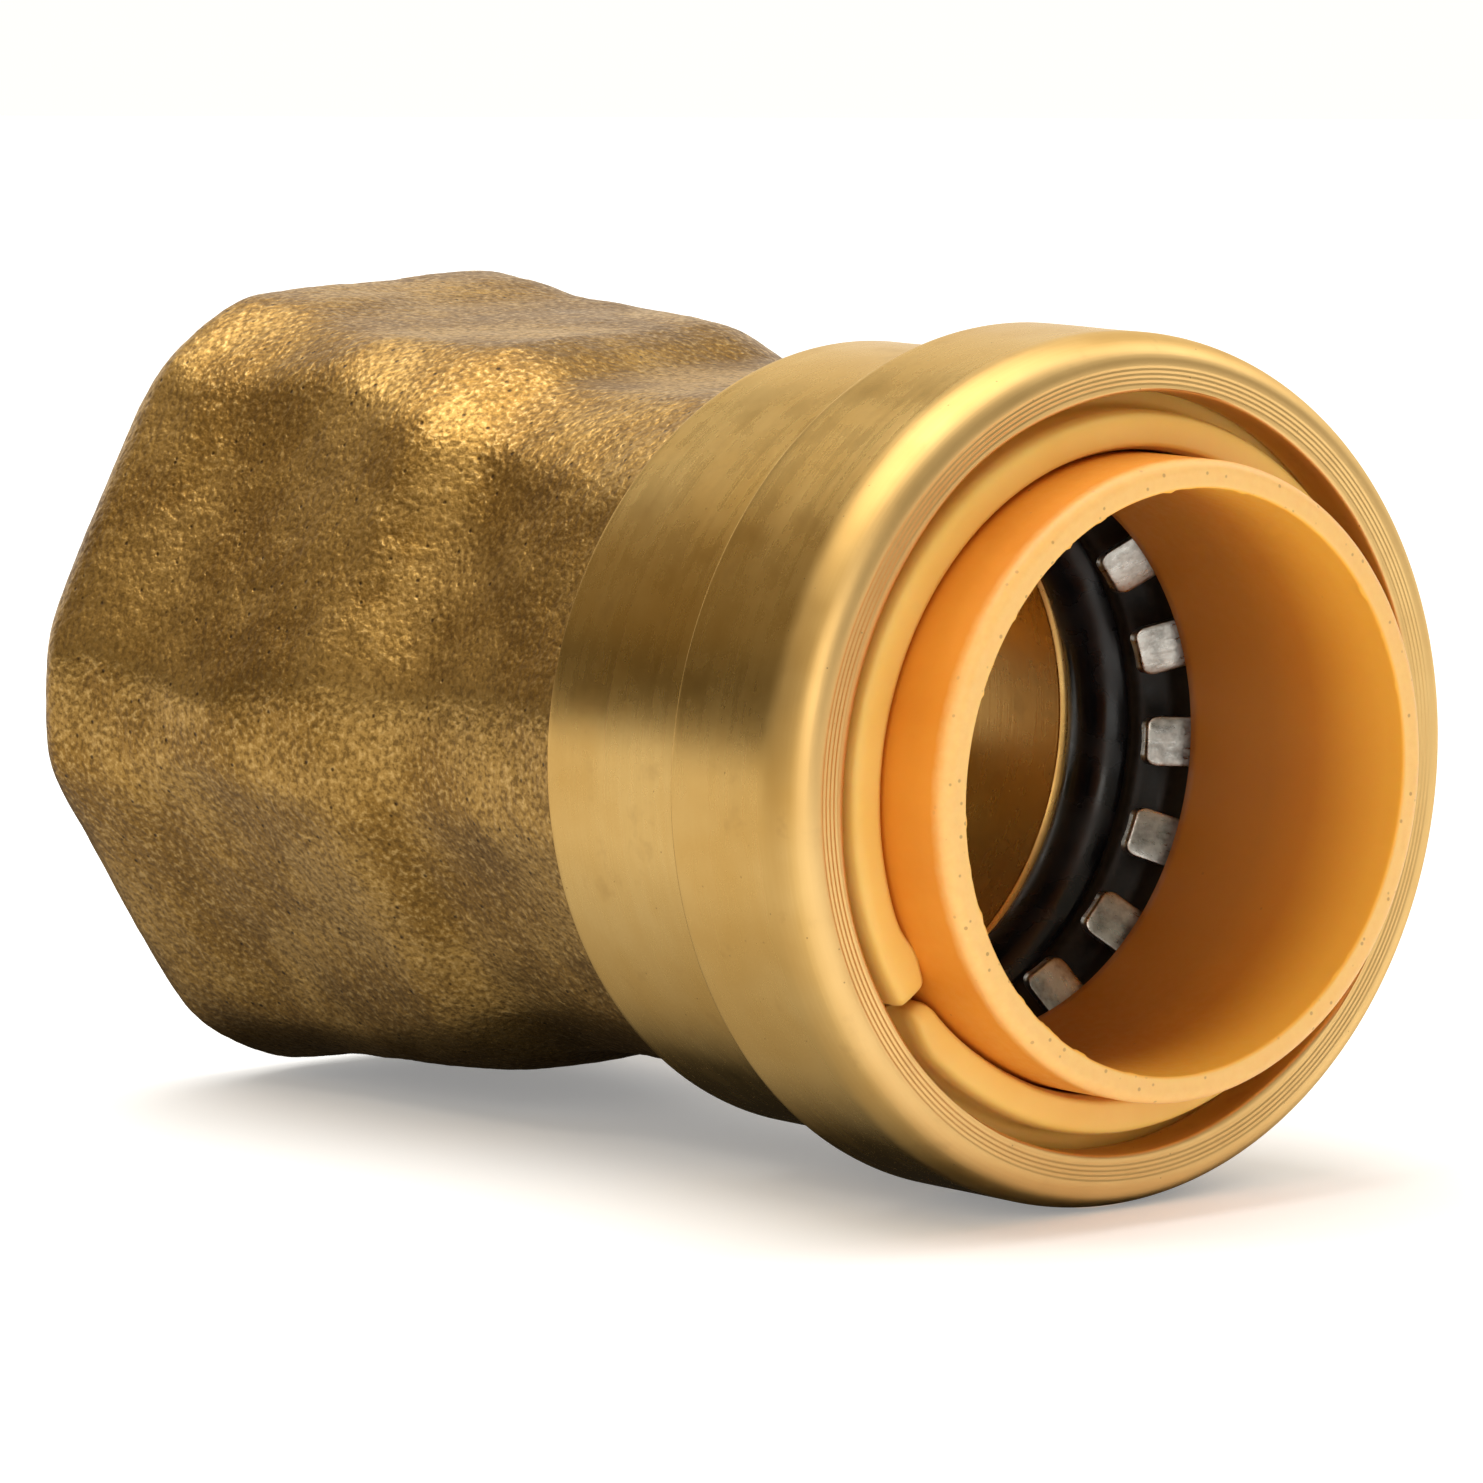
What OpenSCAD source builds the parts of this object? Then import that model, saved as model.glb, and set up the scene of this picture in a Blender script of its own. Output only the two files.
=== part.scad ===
// Push-fit coupling: push-fit pipe socket at +X, female pipe thread in a hexagonal end at X = 0.
// The axis of the waterway is the X axis, and two of the hexagon's flats face up and down.

/* [Overall] */
// Length of the brass body, from the threaded end to the lip of the socket
body_len = 49.4; // [46:0.1:52]
// How far the release collar stands out of the body
collar_out = 3.1; // [2.6:0.1:3.6]

/* [Threaded end] */
// Distance between opposite flats of the hexagon
hex_flats = 31.8; // [31:0.1:33]
// Diameter across the rounded corners of the hexagon
hex_corners = 34.2; // [33.6:0.1:35]
// Length of the hexagon before its front end rounds over
hex_len = 10.1; // [9:0.1:11]
// Distance between opposite flats of the slimmer neck
neck_flats = 28.8; // [28.6:0.1:30]
// Diameter across the rounded corners of the neck
neck_corners = 30.4; // [30:0.1:31]
// Minor diameter of the female thread at its mouth
thread_minor_d = 23.7; // [23.5:0.1:24.2]
// Depth of the threaded hole
thread_depth = 16.5; // [14:0.5:17]
// Bevel on the edge of the threaded hole
thread_bevel = 0.2; // [0:0.05:0.2]

/* [Machined barrel] */
// Diameter of the rear machined band
rear_band_d = 31.4; // [31:0.1:32]
// Length of the rear machined band
rear_band_len = 9.3; // [9:0.1:9.6]
// Diameter of the front machined band
front_band_d = 34; // [33.6:0.1:34.6]
// Length of the front machined band, lip included
front_band_len = 7.55; // [7.4:0.05:7.8]
// Radius of the rounded outer edge of the lip
lip_round = 1.5; // [1:0.1:1.7]
// Diameter of the mouth inside the lip
mouth_d = 29.5; // [29.4:0.1:29.8]

/* [Pipe socket] */
// Inner diameter of the bore that holds the pipe
socket_d = 22.5; // [22.4:0.1:22.8]
// Depth of the pipe stop, measured from the collar's mouth
stop_depth = 28.6; // [27.5:0.1:29]
// Diameter of the waterway past the pipe stop
waterway_d = 19.2; // [18:0.1:20]
// Diameter of the chamber that holds the seal and the gripping ring
chamber_d = 27.9; // [27.8:0.05:28]

/* [Release collar] */
// Inner diameter of the release collar
collar_bore_d = 22.6; // [22.5:0.1:22.8]
// Outer diameter of the release collar's sleeve
collar_sleeve_d = 24.8; // [24.6:0.1:24.9]
// Diameter of the collar's flange
collar_flange_d = 27.2; // [26.8:0.1:27.3]

/* [Retaining ring] */
// Outer diameter of the ring's crown, seen in the mouth
crown_d = 28.1; // [27.8:0.1:28.4]
// Inner diameter of the crown, around the collar
crown_bore_d = 25; // [24.95:0.05:25.1]
// Width of the split
split_w = 0.9; // [0.5:0.1:2]
// Direction of the split, turned from straight up towards -Y
split_angle = 127; // [0:1:359]

/* [Gripping ring and seals] */
// Number of gripping teeth
tooth_count = 18; // [12:1:20]
// Width of a tooth
tooth_w = 1.8; // [1.4:0.1:2]
// Turn of the first tooth from straight up, as a share of the step between teeth
tooth_phase = 0.35; // [0:0.05:1]
// Diameter of the circle through the tips of the teeth
tooth_tip_d = 20.5; // [20.2:0.1:21]
// Thickness of the gripping ring's sheet steel
steel_t = 0.4; // [0.3:0.05:0.5]
// Thickness of the rubber ring
seal_section_d = 3.4; // [3.3:0.05:3.45]

/* [Hidden] */
$fn = 96;
eps = 0.01;

// Stations along X.
lip_x = body_len;
front_band_x = lip_x - front_band_len;
rear_band_x = front_band_x - rear_band_len;
collar_x = lip_x + collar_out;
stop_x = collar_x - stop_depth;

// Ball that rounds the rear end of the hexagon over.
rear_round_x = 11.4;
rear_round_len = 1.7;

// Chamber for the seal, the protector and the gripping ring.
chamber_x = rear_band_x + 0.1;
chamber_end_x = front_band_x + 0.45;
seal_x = chamber_x + seal_section_d / 2 + 0.05;
protector_x = seal_x + seal_section_d / 2 + 0.1;
protector_len = 3.6;
protector_bore_d = 23;
protector_dish_d = 25.2;
grip_x = protector_x + protector_len + 0.05;

// Groove that the retaining ring snaps into.
groove_x = lip_x - 4.2;
groove_len = 2.2;
groove_d = 31;
rib_gap = 0.2;

// Retaining ring.
crown_x = lip_x - 0.25;
crown_len = 3.05;
skirt_bore_d = 27.8;
foot_bore_d = 26.5;
foot_x = grip_x + steel_t + 0.15;

// Release collar.
collar_end_x = grip_x + 0.32;
flange_len = 1.2;
flange_x = crown_x - crown_len - flange_len - 0.15;

// Gripping ring.
grip_rim_bore_d = 25.2;
grip_rim_d = 27.6;
tooth_drop = 1.45;

// Turns a profile of [radius, station] points about the X axis.
module turned() {
    rotate([0, 90, 0])
        rotate_extrude()
            children();
}

// Plain disc or hole along X.
module disc_x(x, len, d) {
    translate([x, 0, 0])
        rotate([0, 90, 0])
            cylinder(h = len, d = d);
}

// Cone or countersink along X.
module cone_x(x, len, d_start, d_end) {
    translate([x, 0, 0])
        rotate([0, 90, 0])
            cylinder(h = len, d1 = d_start, d2 = d_end);
}

// Hexagonal bar along X with two flats facing up and down.
module hex_bar(x, len, flats) {
    translate([x, 0, 0])
        rotate([0, 90, 0])
            rotate([0, 0, 30])
                linear_extrude(height = len)
                    circle(d = flats / cos(30), $fn = 6);
}

// Large hexagon of the threaded end: rounded corners, and both ends rounded over.
module hex_end() {
    corner_r = hex_corners / 2;
    intersection() {
        hex_bar(0, hex_len + corner_r, hex_flats);
        turned()
            capsule_section(corner_r);
        translate([rear_round_x, 0, 0])
            sphere(r = norm([corner_r, rear_round_x - rear_round_len]));
    }
}

// Half outline of a bar whose front end is a half ball.
module capsule_section(r) {
    square([r, hex_len]);
    translate([0, hex_len])
        intersection() {
            circle(r = r);
            square(r);
        }
}

// Slimmer faceted neck between the hexagon and the machined barrel.
module neck() {
    start_x = hex_len + 2;
    len = rear_band_x + 1 - start_x;
    intersection() {
        hex_bar(start_x, len, neck_flats);
        disc_x(start_x, len, neck_corners);
    }
}

// Two machined bands and the rounded lip.
module barrel() {
    rear_r = rear_band_d / 2;
    front_r = front_band_d / 2;
    turned()
        polygon([
            [0, rear_band_x],
            [rear_r - 0.3, rear_band_x],
            [rear_r, rear_band_x + 0.3],
            [rear_r, front_band_x],
            [front_r - 0.15, front_band_x],
            [front_r, front_band_x + 0.15],
            [front_r, lip_x - lip_round],
            [0, lip_x - lip_round]
        ]);
    turned()
        lip_section();
}

// Cross-section of the lip: a flat face with a rounded outer corner.
module lip_section() {
    front_r = front_band_d / 2;
    translate([0, lip_x - lip_round - 1])
        square([front_r - lip_round, lip_round + 1]);
    translate([0, lip_x - lip_round - 1])
        square([front_r, 1]);
    translate([front_r - lip_round, lip_x - lip_round])
        circle(r = lip_round);
}

// Every hollow inside the body, from the thread to the mouth.
module passages() {
    disc_x(-1, thread_depth + 1, thread_minor_d);
    cone_x(-eps, thread_bevel + eps, thread_minor_d + 2 * thread_bevel, thread_minor_d);
    cone_x(thread_depth - eps, 1.3, thread_minor_d, waterway_d);
    disc_x(thread_depth - 1, stop_x - thread_depth + 2, waterway_d);
    disc_x(stop_x, lip_x - stop_x + 1, socket_d);
    cone_x(chamber_x - 0.3, 0.3 + eps, socket_d, socket_d + 0.6);
    disc_x(chamber_x, lip_x - chamber_x + 1, chamber_d);
    disc_x(chamber_end_x, lip_x - chamber_end_x + 1, mouth_d);
    disc_x(groove_x, groove_len, groove_d);
    cone_x(lip_x - 0.25, 0.25 + eps, mouth_d, mouth_d + 0.5);
}

// Brass body: cast hexagon and neck, machined barrel, all one piece.
module fitting_body() {
    color("#b8863b")
        difference() {
            union() {
                hex_end();
                neck();
                barrel();
            }
            passages();
        }
}

// Split plastic ring: a rounded crown in the mouth, a snap rib, and a skirt that holds the gripping ring.
module retaining_ring() {
    crown_r = crown_d / 2;
    bore_r = crown_bore_d / 2;
    skirt_r = mouth_d / 2 - 0.1;
    rib_r = groove_d / 2 - rib_gap;
    shoulder_x = crown_x - crown_len;
    color("#ecc27a")
        difference() {
            turned()
                polygon([
                    [bore_r + 0.35, crown_x - 0.15],
                    [bore_r + 0.8, crown_x],
                    [crown_r - 0.6, crown_x - 0.05],
                    [crown_r - 0.15, crown_x - 0.4],
                    [crown_r, crown_x - 0.9],
                    [crown_r, groove_x + groove_len - 0.2],
                    [rib_r, groove_x + groove_len - 0.4],
                    [rib_r, groove_x + 0.6],
                    [skirt_r, groove_x + 0.1],
                    [skirt_r, chamber_end_x + 0.1],
                    [chamber_d / 2 - 0.1, chamber_end_x + 0.1],
                    [chamber_d / 2 - 0.1, foot_x],
                    [foot_bore_d / 2, foot_x],
                    [foot_bore_d / 2, chamber_end_x + 0.1],
                    [skirt_bore_d / 2, chamber_end_x + 0.1],
                    [skirt_bore_d / 2, shoulder_x],
                    [bore_r, shoulder_x],
                    [bore_r, crown_x - 0.55]
                ]);
            ring_split();
        }
}

// Narrow split through one side of the retaining ring.
module ring_split() {
    rotate([split_angle, 0, 0])
        translate([foot_x - 1, -split_w / 2, crown_bore_d / 2 - 2])
            cube([collar_x - foot_x, split_w, 6]);
}

// Release collar: a sleeve that stands out of the mouth, with a flange behind the retaining ring.
module release_collar() {
    bore_r = collar_bore_d / 2;
    sleeve_r = collar_sleeve_d / 2;
    color("#f2993c")
        turned()
            polygon([
                [bore_r, collar_end_x],
                [bore_r + 0.4, collar_end_x],
                [sleeve_r, collar_end_x + 0.75],
                [sleeve_r, flange_x - 0.6],
                [collar_flange_d / 2, flange_x],
                [collar_flange_d / 2, flange_x + flange_len],
                [sleeve_r, flange_x + flange_len],
                [sleeve_r, collar_x - 0.6],
                [sleeve_r - 0.09, collar_x - 0.28],
                [sleeve_r - 0.3, collar_x - 0.07],
                [sleeve_r - 0.55, collar_x],
                [bore_r + 0.2, collar_x],
                [bore_r, collar_x - 0.2]
            ]);
}

// Sheet-steel ring whose teeth lean inwards and away from the mouth.
module grab_ring() {
    root_r = grip_rim_bore_d / 2;
    tip_r = tooth_tip_d / 2;
    color("#cfcac0") {
        turned()
            translate([root_r, grip_x])
                square([grip_rim_d / 2 - root_r, steel_t]);
        intersection() {
            turned()
                polygon([
                    [root_r + 0.2, grip_x],
                    [root_r + 0.2, grip_x + steel_t],
                    [root_r - 0.05, grip_x + steel_t],
                    [tip_r, grip_x + steel_t - tooth_drop],
                    [tip_r, grip_x - tooth_drop],
                    [root_r - 0.05, grip_x]
                ]);
            tooth_bars();
        }
    }
}

// Radial bars that give each tooth its parallel sides.
module tooth_bars() {
    for (i = [0 : tooth_count - 1])
        rotate([(i + tooth_phase) * 360 / tooth_count, 0, 0])
            translate([grip_x - 3, -tooth_w / 2, 5])
                cube([6, tooth_w, 12]);
}

// Hard ring between the teeth and the rubber ring.
module seal_protector() {
    outer_r = chamber_d / 2 - 0.1;
    bore_r = protector_bore_d / 2;
    dish_r = protector_dish_d / 2;
    front_x = protector_x + protector_len;
    color("#1c1b1a")
        turned()
            polygon([
                [bore_r, protector_x],
                [outer_r, protector_x],
                [outer_r, front_x],
                [dish_r + 0.3, front_x],
                [dish_r, front_x - 0.4],
                [dish_r, front_x - 2.1],
                [bore_r + 0.1, front_x - 2.9],
                [bore_r, front_x - 3.1]
            ]);
}

// Rubber ring that seals on the pipe.
module o_ring() {
    color("#121212")
        turned()
            translate([chamber_d / 2 - 0.05 - seal_section_d / 2, seal_x])
                circle(d = seal_section_d);
}

fitting_body();
retaining_ring();
release_collar();
grab_ring();
seal_protector();
o_ring();
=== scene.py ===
import math

import bpy
import numpy as np
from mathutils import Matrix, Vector


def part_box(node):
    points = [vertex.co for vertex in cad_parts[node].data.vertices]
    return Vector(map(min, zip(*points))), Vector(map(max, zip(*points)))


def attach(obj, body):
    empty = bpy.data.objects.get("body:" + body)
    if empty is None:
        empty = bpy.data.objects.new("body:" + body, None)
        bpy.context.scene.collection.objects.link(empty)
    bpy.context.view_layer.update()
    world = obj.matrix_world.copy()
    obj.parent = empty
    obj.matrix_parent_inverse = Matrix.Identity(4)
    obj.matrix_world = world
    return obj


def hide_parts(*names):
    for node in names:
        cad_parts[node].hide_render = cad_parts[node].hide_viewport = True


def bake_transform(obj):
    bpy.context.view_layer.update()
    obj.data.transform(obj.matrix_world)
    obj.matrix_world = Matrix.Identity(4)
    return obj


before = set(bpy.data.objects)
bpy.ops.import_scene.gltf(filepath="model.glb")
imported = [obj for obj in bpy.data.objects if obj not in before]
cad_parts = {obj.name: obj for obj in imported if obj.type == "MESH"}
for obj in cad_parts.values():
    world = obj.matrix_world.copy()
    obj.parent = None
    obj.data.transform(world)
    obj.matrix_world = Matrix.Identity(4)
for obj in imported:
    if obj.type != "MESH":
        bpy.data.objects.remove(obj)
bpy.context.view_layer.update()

MM = 0.001


# ---- Stations read from the CAD frame, in millimetres ----

def node_box(node):
    """Lowest and highest corner of a CAD node, in millimetres."""
    low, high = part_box(node)
    return np.array(low) / MM, np.array(high) / MM


body_high = node_box("fitting_body")[1]
collar_low, collar_high = node_box("release_collar")
ring_low, ring_high = node_box("retaining_ring")
grip_high = node_box("grab_ring")[1]
protector_low, protector_high = node_box("seal_protector")
seal_low, seal_high = node_box("o_ring")

LIP_X = body_high[0]
COLLAR_X = collar_high[0]
FRONT_BAND_X = LIP_X - 7.55
REAR_BAND_X = FRONT_BAND_X - 9.3
STOP_X = COLLAR_X - 28.6
FRONT_BAND_R = 17.0
REAR_BAND_R = 15.7
MOUTH_R = 14.75
SOCKET_R = 11.25
WATERWAY_R = 9.6
CHAMBER_R = 13.95
CHAMBER_X = REAR_BAND_X + 0.1
CHAMBER_END_X = FRONT_BAND_X + 0.45
GROOVE_X = LIP_X - 4.2
GROOVE_LEN = 2.2
GROOVE_R = 15.5
GROOVE_END_X = GROOVE_X + GROOVE_LEN
LIP_ROUND = 1.2
LIP_RUN = 1.9
LIP_SOFTENING = 2.4
TOOL_LINE_PITCH = 0.19
CROWN_LEN = 3.05
COLLAR_BORE_R = 11.3
COLLAR_SLEEVE_R = 12.4
SEAL_SECTION_R = 1.7
THREAD_MINOR_R = 11.85
THREAD_MAJOR_R = 13.3
THREAD_PITCH = 25.4 / 14
THREAD_LEN = 16.5
SLEEVE_WALL_R = 13.55
INNER_WALL_R = 13.0


# ---- Numbers and noise ----

def ease(low, high, value):
    """Smooth step from 0 to 1."""
    t = np.clip((value - low) / (high - low), 0.0, 1.0)
    return t * t * (3 - 2 * t)


def bump(centre, width, value):
    """Round hump of height 1."""
    return np.exp(-((value - centre) / width) ** 2)


def wave_noise(points, scale, seed, octaves=1):
    """Smooth repeatable noise, roughly from -1 to 1, from waves in random directions."""
    rng = np.random.default_rng(seed)
    total = np.zeros(points.shape[:-1])
    weight = 1.0
    for _ in range(octaves):
        layer = np.zeros(points.shape[:-1])
        for _ in range(14):
            direction = rng.normal(size=3)
            direction /= np.linalg.norm(direction)
            pull = rng.uniform(0.7, 1.3) / scale
            layer += np.sin(points @ direction * pull * 2 * math.pi + rng.uniform(0, 2 * math.pi))
        total += weight * layer / math.sqrt(14 / 2) * 0.7
        weight *= 0.5
        scale *= 0.5
    return total


def curve_through(xs, ys, at):
    """Smooth curve through points, with no overshoot between them."""
    xs, ys, at = np.array(xs, float), np.array(ys, float), np.asarray(at, float)
    step = np.diff(xs)
    slope = np.diff(ys) / step
    tangent = np.zeros(len(xs))
    tangent[0], tangent[-1] = slope[0], slope[-1]
    same = slope[:-1] * slope[1:] > 0
    w1, w2 = 2 * step[1:] + step[:-1], step[1:] + 2 * step[:-1]
    with np.errstate(divide="ignore", invalid="ignore"):
        mean = (w1 + w2) / (w1 / slope[:-1] + w2 / slope[1:])
    tangent[1:-1] = np.where(same, mean, 0.0)
    i = np.clip(np.searchsorted(xs, at, side="right") - 1, 0, len(step) - 1)
    t = np.clip((at - xs[i]) / step[i], 0, 1)
    a = (1 + 2 * t) * (1 - t) ** 2 * ys[i] + t * (1 - t) ** 2 * step[i] * tangent[i]
    b = t * t * (3 - 2 * t) * ys[i + 1] + t * t * (t - 1) * step[i] * tangent[i + 1]
    return a + b


# ---- Mesh building ----

def make_piece(name, points, faces, material, smooth=True):
    """One mesh object from points in millimetres."""
    mesh = bpy.data.meshes.new(name)
    mesh.from_pydata((np.asarray(points) * MM).tolist(), [], [list(f) for f in faces])
    mesh.validate()
    if smooth:
        mesh.polygons.foreach_set("use_smooth", [True] * len(mesh.polygons))
    mesh.materials.append(material)
    mesh.update()
    piece = bpy.data.objects.new(name, mesh)
    bpy.context.scene.collection.objects.link(piece)
    return piece


def around(x, r, angle):
    """Points at station x and radius r, turned from straight up towards -Y."""
    return np.stack([x, -r * np.sin(angle), r * np.cos(angle)], axis=-1)


def grid_faces(rows, columns, close_rows, close_columns):
    """Quads of a grid of points."""
    i, j = np.meshgrid(
        np.arange(rows if close_rows else rows - 1),
        np.arange(columns if close_columns else columns - 1),
        indexing="ij",
    )
    i2, j2 = (i + 1) % rows, (j + 1) % columns
    quads = np.stack([i * columns + j, i * columns + j2, i2 * columns + j2, i2 * columns + j], -1)
    return quads.reshape(-1, 4)


def refine(profile, step):
    """Adds points along straight runs of a closed outline of (x, r) so that none is longer than step."""
    out = []
    count = len(profile)
    for k in range(count):
        a, b = np.array(profile[k]), np.array(profile[(k + 1) % count])
        parts = max(1, int(math.ceil(np.linalg.norm(b - a) / step)))
        for m in range(parts):
            out.append(a + (b - a) * m / parts)
    return np.array(out)


def corner(x, r, radius, start, end, count=6):
    """Rounded corner: points on an arc about (x, r), with angles in degrees from +X towards +r."""
    angles = np.radians(np.linspace(start, end, count))
    return [(x + radius * math.cos(a), r + radius * math.sin(a)) for a in angles]


def clockwise(outline):
    """The outline in the order that makes the turned faces point outwards."""
    outline = np.asarray(outline, float)
    after = np.roll(outline, -1, axis=0)
    area = np.sum(outline[:, 0] * after[:, 1] - after[:, 0] * outline[:, 1])
    return outline[::-1] if area > 0 else outline


def turned_piece(name, outline, material, columns=256, shape=None):
    """Closed ring: an outline of (x, r), turned about the X axis. shape(x, r, angle) may move the points."""
    outline = clockwise(outline)
    angle = np.arange(columns) * 2 * math.pi / columns
    x = np.repeat(outline[:, :1], columns, 1)
    r = np.repeat(outline[:, 1:2], columns, 1)
    a = np.repeat(angle[None, :], len(outline), 0)
    if shape:
        x, r = shape(x, r, a)
    points = around(x, r, a).reshape(-1, 3)
    return make_piece(name, points, grid_faces(len(outline), columns, True, True), material)


# ---- Materials ----

class Nodes:
    """Small helper for building a node material."""

    def __init__(self, name, metallic, roughness, color):
        self.material = bpy.data.materials.new(name)
        self.material.use_nodes = True
        self.tree = self.material.node_tree
        self.shader = self.tree.nodes["Principled BSDF"]
        self.shader.inputs["Metallic"].default_value = metallic
        self.shader.inputs["Roughness"].default_value = roughness
        self.shader.inputs["Base Color"].default_value = (*color, 1)

    def add(self, kind, inputs=None, **settings):
        node = self.tree.nodes.new(kind)
        for key, value in settings.items():
            setattr(node, key, value)
        for key, value in (inputs or {}).items():
            self.give(node.inputs[key], value)
        return node

    def give(self, socket, value):
        if isinstance(value, bpy.types.NodeSocket):
            self.tree.links.new(value, socket)
        else:
            socket.default_value = value

    def coords(self, scale=(1, 1, 1)):
        """Place on the object, in millimetres times scale."""
        place = self.add("ShaderNodeTexCoord").outputs["Object"]
        per_mm = [s / MM for s in scale]
        return self.add("ShaderNodeMapping", {"Vector": place, "Scale": per_mm}).outputs["Vector"]

    def polar(self, per_x, per_angle, per_r=0.0):
        """Place as (station, way round, radius): features stretch along the turned surface."""
        split = self.add("ShaderNodeSeparateXYZ", {"Vector": self.coords()}).outputs
        angle = self.math("ARCTAN2", split["Y"], split["Z"])
        y2 = self.math("MULTIPLY", split["Y"], split["Y"])
        z2 = self.math("MULTIPLY", split["Z"], split["Z"])
        radius = self.math("SQRT", self.math("ADD", y2, z2), 0.0)
        return self.add("ShaderNodeCombineXYZ", {
            "X": self.math("MULTIPLY", split["X"], per_x),
            "Y": self.math("MULTIPLY", angle, per_angle),
            "Z": self.math("MULTIPLY", radius, per_r),
        }).outputs["Vector"]

    def math(self, operation, a, b=0.0, c=0.0, clamp=False):
        node = self.add("ShaderNodeMath", operation=operation, use_clamp=clamp)
        for socket, value in zip(node.inputs, (a, b, c)):
            self.give(socket, value)
        return node.outputs[0]

    def noise(self, vector, scale, detail=2.0, rough=0.5, distortion=0.0):
        node = self.add("ShaderNodeTexNoise", {
            "Vector": vector, "Scale": scale, "Detail": detail, "Roughness": rough, "Distortion": distortion,
        })
        return node.outputs["Fac"]

    def cells(self, vector, scale, feature="F1", randomness=1.0):
        node = self.add("ShaderNodeTexVoronoi", {
            "Vector": vector, "Scale": scale, "Randomness": randomness,
        }, feature=feature)
        return node.outputs["Distance"]

    def ramp(self, value, *stops):
        """Colour or grey by value; each stop is (position, colour or grey)."""
        node = self.add("ShaderNodeValToRGB", {"Fac": value})
        marks = node.color_ramp.elements
        while len(marks) < len(stops):
            marks.new(0.5)
        for mark, (position, tint) in zip(marks, stops):
            mark.position = position
            mark.color = (*tint, 1) if isinstance(tint, tuple) else (tint, tint, tint, 1)
        return node.outputs["Color"]

    def mix(self, share, a, b, blend="MIX"):
        node = self.add("ShaderNodeMix", data_type="RGBA", blend_type=blend)
        self.give(node.inputs["Factor"], share)
        self.give(node.inputs[6], a if isinstance(a, bpy.types.NodeSocket) else (*a, 1))
        self.give(node.inputs[7], b if isinstance(b, bpy.types.NodeSocket) else (*b, 1))
        return node.outputs[2]

    def bump(self, height, strength, distance_mm, below=None):
        inputs = {"Height": height, "Strength": strength, "Distance": distance_mm * MM}
        if below is not None:
            inputs["Normal"] = below
        return self.add("ShaderNodeBump", inputs).outputs["Normal"]

    def use(self, color=None, roughness=None, normal=None):
        for key, value in (("Base Color", color), ("Roughness", roughness), ("Normal", normal)):
            if value is not None:
                self.give(self.shader.inputs[key], value)
        return self.material


BRASS_BRIGHT = (0.69, 0.455, 0.165)
BRASS_DEEP = (0.60, 0.36, 0.105)
BRASS_STAIN = (0.36, 0.20, 0.065)


def turned_brass(name):
    """Machined brass: satin, with fine turned lines, small nicks, faint stains and a painted highlight on the
    lip's front face.
    """
    n = Nodes(name, 1.0, 0.24, BRASS_BRIGHT)
    plain = n.coords()
    lines = n.noise(n.polar(9.0, 0.8, 9.0), 1.0, 1.0, 0.6)
    wide_lines = n.noise(n.polar(2.2, 0.5, 3.0), 1.0, 2.0)
    fuzz = n.noise(plain, 3.0, 3.0, 0.6)
    patches = n.noise(plain, 0.16, 3.0, 0.55)
    stains = n.noise(plain, 0.55, 4.0, 0.6)
    specks = n.cells(plain, 1.3)
    tone = n.mix(n.ramp(patches, (0.35, 0.0), (0.68, 1.0)), BRASS_BRIGHT, BRASS_DEEP)
    tone = n.mix(n.ramp(lines, (0.35, 0.2), (0.65, 0.0)), tone, BRASS_DEEP)
    tone = n.mix(n.ramp(stains, (0.60, 0.0), (0.72, 0.25)), tone, BRASS_STAIN)
    station = n.add("ShaderNodeSeparateXYZ", {"Vector": plain}).outputs["X"]
    # Painted highlight: the lip's front face is mixed halfway towards a paler brass.
    facing = n.ramp(n.math("SUBTRACT", station, LIP_X - 0.9), (0.2, 0.0), (0.8, 1.0))
    tone = n.mix(n.math("MULTIPLY", facing, 0.5), tone, (0.86, 0.60, 0.27))
    tone = n.mix(n.ramp(specks, (0.03, 0.6), (0.06, 0.0)), tone, (0.20, 0.10, 0.035))
    gloss = n.math("ADD", n.math("MULTIPLY", wide_lines, 0.08), n.math("MULTIPLY", stains, 0.14))
    rounding = n.ramp(n.math("SUBTRACT", station, LIP_X - LIP_SOFTENING), (0.0, 0.0), (0.9, 1.0))
    gloss = n.math("ADD", n.math("ADD", gloss, 0.16), n.math("MULTIPLY", rounding, 0.2))
    n.shader.inputs["Specular Tint"].default_value = (1.0, 0.90, 0.70, 1)
    normal = n.bump(lines, 0.26, 0.012)
    normal = n.bump(wide_lines, 0.05, 0.02, normal)
    normal = n.bump(fuzz, 0.10, 0.012, normal)
    normal = n.bump(n.ramp(specks, (0.02, 0.0), (0.05, 1.0)), 0.25, 0.02, normal)
    return n.use(tone, gloss, normal)


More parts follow.
